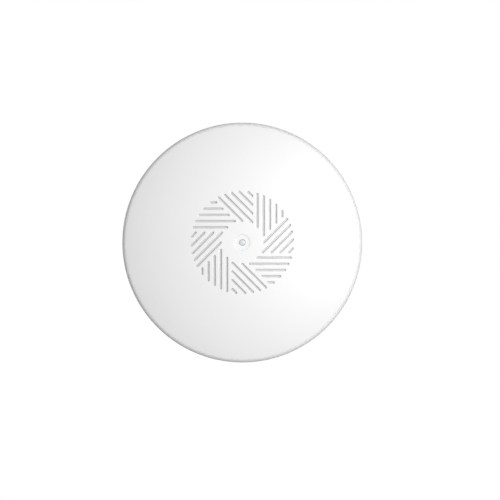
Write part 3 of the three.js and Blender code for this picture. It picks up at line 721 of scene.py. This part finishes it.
def detent_bump():
    """The round bump under the bracket's finger that snaps into the shell's track."""
    root, end_z = -PLATE + 0.5, -6.4
    tip = [(1.2, end_z + 0.5), (1.0, end_z + 0.2), (0.6, end_z), (0, end_z)]
    return turned("bump", [(0, root), (1.2, root), *tip], 32, (0, TRACK_R))


def bracket_relief(hole_centres, slots):
    """The shallow field in the bracket's ceiling face, round its ribs and the pads at its holes."""
    inner, outer, depth = 15, BRACKET_R - 4, 1
    shallow = turned("shallow", [(inner, 1), (inner, -depth), (outer, -depth), (outer, 1), (inner, 1)])
    hole_pad_r, slot_border, window_border, window_corner = 6, 3.5, 2.5, 6
    rib_start, rib_end, rib_half = 1, 60, 1.2
    x, y0, y1 = (WINDOW[side] for side in ("x", "y0", "y1"))
    x, y0, y1 = x + window_border, y0 - window_border, y1 + window_border
    outlines = [circle(c, hole_pad_r, 48) for c in hole_centres]
    outlines += [capsule((a, 0), (b, 0), SLOT_W / 2 + slot_border, 2, 16) for a, b in slots]
    outlines += [rounded(-x, x, y0, y1, window_corner), opening(FINGER_PAD)]
    for degrees in RIB_DEGREES:
        outlines.append(capsule(polar(rib_start, degrees), polar(rib_end, degrees), rib_half, 2, 4))
    combined(shallow, "DIFFERENCE", *[prism("island", outline, -2, 2) for outline in outlines])
    return shallow


def make_bracket():
    plate = turned("ceiling_bracket", bracket_profile())
    root_r, added = BRACKET_R - 1, []
    tab_overlap, stop_gap, stop_degrees = 0.8, 0.4, 3
    for degrees in CORNER_DEGREES:
        start, end = degrees - LUG_HALF_DEG, degrees + LUG_HALF_DEG
        tab = sector(root_r, TAB_R, start, end + tab_overlap)
        stop = sector(root_r, TAB_R, end + stop_gap, end + stop_degrees, 4)
        added += [prism("tab", tab, TAB_BOTTOM, TAB_TOP), prism("stop", stop, TAB_BOTTOM, STOP_TOP)]
    combined(plate, "UNION", *added, detent_bump())

    hole_centres = [polar(BRACKET_HOLE_RING, degrees) for degrees in BRACKET_HOLE_DEGREES]
    slot_centres = (-SLOT_SPACING / 2, SLOT_SPACING / 2)
    slots = [(x - SLOT_HALF, x + SLOT_HALF) for x in slot_centres]
    through, window_lip, fine_lip = -5, 0.5, 0.25
    window = lambda grow: opening(WINDOW, grow)
    cuts = [bracket_relief(hole_centres, slots), mouthed("window", window, 0, through, window_lip)]
    for centre in hole_centres:
        hole = lambda grow, centre=centre: circle(centre, BRACKET_HOLE_R + grow, 40)
        cuts.append(mouthed("hole", hole, 0, through, fine_lip))
        cuts.append(prism("countersink", circle(centre, COUNTERSINK_R, 40), through, COUNTERSINK_Z))
    for a, b in slots:
        slot = lambda grow, a=a, b=b: capsule((a, 0), (b, 0), SLOT_W / 2 + grow, 2, 16)
        cuts.append(mouthed("slot", slot, 0, through, fine_lip))
    # The finger stays joined to the plate at its inner end.
    finger_slot = prism("finger_slot", opening(FINGER_SLOT), through, 1)
    combined(finger_slot, "DIFFERENCE", prism("finger", opening(FINGER), through - 1, 2))
    combined(plate, "DIFFERENCE", *cuts, finger_slot)
    soften(plate, 34)
    add_piece(plate, "bracket", "bracket_plastic", "mounting_bracket")


# ---- Screws, and the CAD nodes that keep their shape -------------------------------------------------------
CASE_SCREWS = ["housing_screw_%d" % number for number in (1, 2, 3, 4)]
SLOT_OF = {entry["node"]: entry["material_slot"] for entry in frame["record"]["subparts"]}
REPLACED = {"front_cover", "light_pipe", "rear_shell", "mounting_bracket", *CASE_SCREWS}
ROUNDED_EDGES = {
    "network_jack_shell": 0.15, "network_jack_insert": 0.12, "power_jack": 0.2, "reset_button": 0.2,
    "rating_label": 0.05, "processor_heat_sink": 0.2, "radio_heat_sink": 0.2, "shield_can_2g": 0.25,
    "shield_can_5g": 0.25,
}


def make_screw(name, node, body):
    """Pan-head screw in place of a CAD screw whose head is at its upper end."""
    low, high = (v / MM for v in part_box(node))
    centre = ((low.x + high.x) / 2, (low.y + high.y) / 2)
    head_r, head_h, shank_r = 2.9, 2.2, 1.4
    plain_neck, plain_end, pitch, flank_height, thread_depth = 2, 1.6, 0.95, 0.35, 0.3
    arm, half, corner, cross_depth = 1.7, 0.35, 0.2, 1.2
    seat = high.z - head_h
    crown = [(0, 0), (1.4, 0), (2.1, 0.15), (2.6, 0.5), (head_r, 1.1)]
    profile = [(r, high.z - drop) for r, drop in crown]
    profile += [(head_r, seat), (shank_r, seat)]
    z = seat - plain_neck
    while z > low.z + plain_end:
        profile += [(shank_r, z), (shank_r - thread_depth, z - flank_height), (shank_r, z - 2 * flank_height)]
        z -= pitch
    profile += [(shank_r * 0.4, low.z), (0, low.z)]
    screw = turned(name, profile, 40, centre)
    arms = [
        rounded(centre[0] - a, centre[0] + a, centre[1] - b, centre[1] + b, corner)
        for a, b in ((arm, half), (half, arm))
    ]
    cutters = [prism("arm", outline, high.z - cross_depth, high.z + 1) for outline in arms]
    combined(screw, "DIFFERENCE", *cutters)
    soften(screw, 36)
    add_piece(screw, body, "screw_steel", node)


def finish_node(name, node):
    """A CAD node that stays: its material, and small bevels on its edges where they would show."""
    dress(node, FINISHES[SLOT_OF[name]])
    weld = node.modifiers.new("weld", "WELD")
    weld.merge_threshold = 1e-6
    if name in ROUNDED_EDGES:
        bevel = node.modifiers.new("edges", "BEVEL")
        bevel.width = ROUNDED_EDGES[name] * MM
        bevel.segments = 2
        bevel.limit_method = "ANGLE"
        bevel.angle_limit = math.radians(40)


make_cover()
make_lens()
make_rear()
make_bracket()
for number, screw_node in enumerate(CASE_SCREWS, 1):
    make_screw("case_screw_%d" % number, screw_node, "housing")

for node_name, cad_node in frame["nodes"].items():
    if node_name not in REPLACED:
        finish_node(node_name, cad_node)


# ---- Stage -------------------------------------------------------------------------------------------------
FLOOR_Z, FLOOR_HALF, SURROUND_R = -1.9, 12.0, 11.5  # metres, as everything below


def plain(name, colour, emission):
    material = bpy.data.materials.new(name)
    material.use_nodes = True
    shader = material.node_tree.nodes["Principled BSDF"]
    shader.inputs["Base Color"].default_value = (*colour, 1)
    shader.inputs["Roughness"].default_value = 0.9
    shader.inputs["Emission Color"].default_value = (1, 1, 1, 1)
    shader.inputs["Emission Strength"].default_value = emission
    return material


def make_floor():
    """A pale floor far below the ceiling-mounted object. It glows a little, but doesn't light the object."""
    mesh = bpy.data.meshes.new("floor")
    half, z = FLOOR_HALF, FLOOR_Z
    corners = [(-half, -half, z), (half, -half, z), (half, half, z), (-half, half, z)]
    mesh.from_pydata(corners, [], [(0, 1, 2, 3)])
    floor = bpy.data.objects.new("floor", mesh)
    bpy.context.collection.objects.link(floor)
    mesh.materials.append(plain("pale_floor", (0.8, 0.8, 0.8), 0.45))
    floor.visible_diffuse = False
    floor.visible_glossy = False


def make_backdrop():
    """A surround that only the camera sees: white overhead, floor-grey low down."""
    low_grey, white, white_from = 0.58, 1.0, 6.0
    bm = bmesh.new()
    bmesh.ops.create_icosphere(bm, subdivisions=4, radius=SURROUND_R)
    mesh = bpy.data.meshes.new("backdrop")
    bm.to_mesh(mesh)
    bm.free()
    backdrop = bpy.data.objects.new("backdrop", mesh)
    bpy.context.collection.objects.link(backdrop)
    material = plain("white_surround", (0, 0, 0), 1.0)
    nodes, links = material.node_tree.nodes, material.node_tree.links
    height = nodes.new("ShaderNodeSeparateXYZ")
    links.new(nodes.new("ShaderNodeTexCoord").outputs["Object"], height.inputs[0])
    blend = nodes.new("ShaderNodeMapRange")
    blend.interpolation_type = "SMOOTHSTEP"
    blend.inputs["From Min"].default_value = FLOOR_Z
    blend.inputs["From Max"].default_value = white_from
    blend.inputs["To Min"].default_value = low_grey
    blend.inputs["To Max"].default_value = white
    links.new(height.outputs["Z"], blend.inputs["Value"])
    links.new(blend.outputs["Result"], nodes["Principled BSDF"].inputs["Emission Strength"])
    mesh.materials.append(material)
    backdrop.visible_diffuse = False
    backdrop.visible_glossy = False
    backdrop.visible_transmission = False
    backdrop.visible_shadow = False
    backdrop.visible_volume_scatter = False


def area_light(name, place, size, power, gloss=True):
    """A lamp that faces the object. gloss says whether it shows in reflections."""
    object_middle = Vector((0, 0, -0.03))
    light = bpy.data.lights.new(name, "AREA")
    light.size = size
    light.energy = power
    lamp = bpy.data.objects.new(name, light)
    bpy.context.collection.objects.link(lamp)
    lamp.location = place
    lamp.rotation_euler = (object_middle - Vector(place)).to_track_quat("-Z", "Y").to_euler()
    lamp.visible_camera = False
    lamp.visible_glossy = gloss


def make_world(brightness):
    world = bpy.data.worlds.new("studio")
    bpy.context.scene.world = world
    world.use_nodes = True
    background = world.node_tree.nodes["Background"]
    background.inputs["Color"].default_value = (1, 1, 1, 1)
    background.inputs["Strength"].default_value = brightness


def make_camera():
    """Looks straight up at the face, a little to one side of its centre."""
    lens_mm, sensor_mm = 100.0, 36.0
    outline_share = 0.4795  # the outline's diameter, as a share of the picture's width
    aside_x, aside_y = 0.0155, 0.0149  # how far the picture's middle is from the face's, in the same share
    outline_tilt = math.radians(80)  # the part of the rim's round that is the outline from here
    outline_r, outline_z = (v * MM for v in rim_round(outline_tilt))
    width = 2 * outline_r / outline_share
    data = bpy.data.cameras.new("camera")
    data.lens = lens_mm
    data.sensor_width = sensor_mm
    data.clip_end = 60
    camera = bpy.data.objects.new("camera", data)
    bpy.context.collection.objects.link(camera)
    camera.location = (aside_x * width, aside_y * width, outline_z - width * lens_mm / sensor_mm)
    camera.rotation_euler = (math.pi, 0, 0)
    bpy.context.scene.camera = camera


make_floor()
make_backdrop()
area_light("key", place=(0.24, -0.05, -0.52), size=0.28, power=2.17)
area_light("rear", place=(0, 0, 1.0), size=4.0, power=52, gloss=False)
area_light("under", place=(0, 0, FLOOR_Z + 0.05), size=6.0, power=50)
make_world(brightness=0.15)
make_camera()

view = bpy.context.scene.view_settings
view.view_transform = "Standard"
view.look = "None"
view.exposure = 0
view.gamma = 1
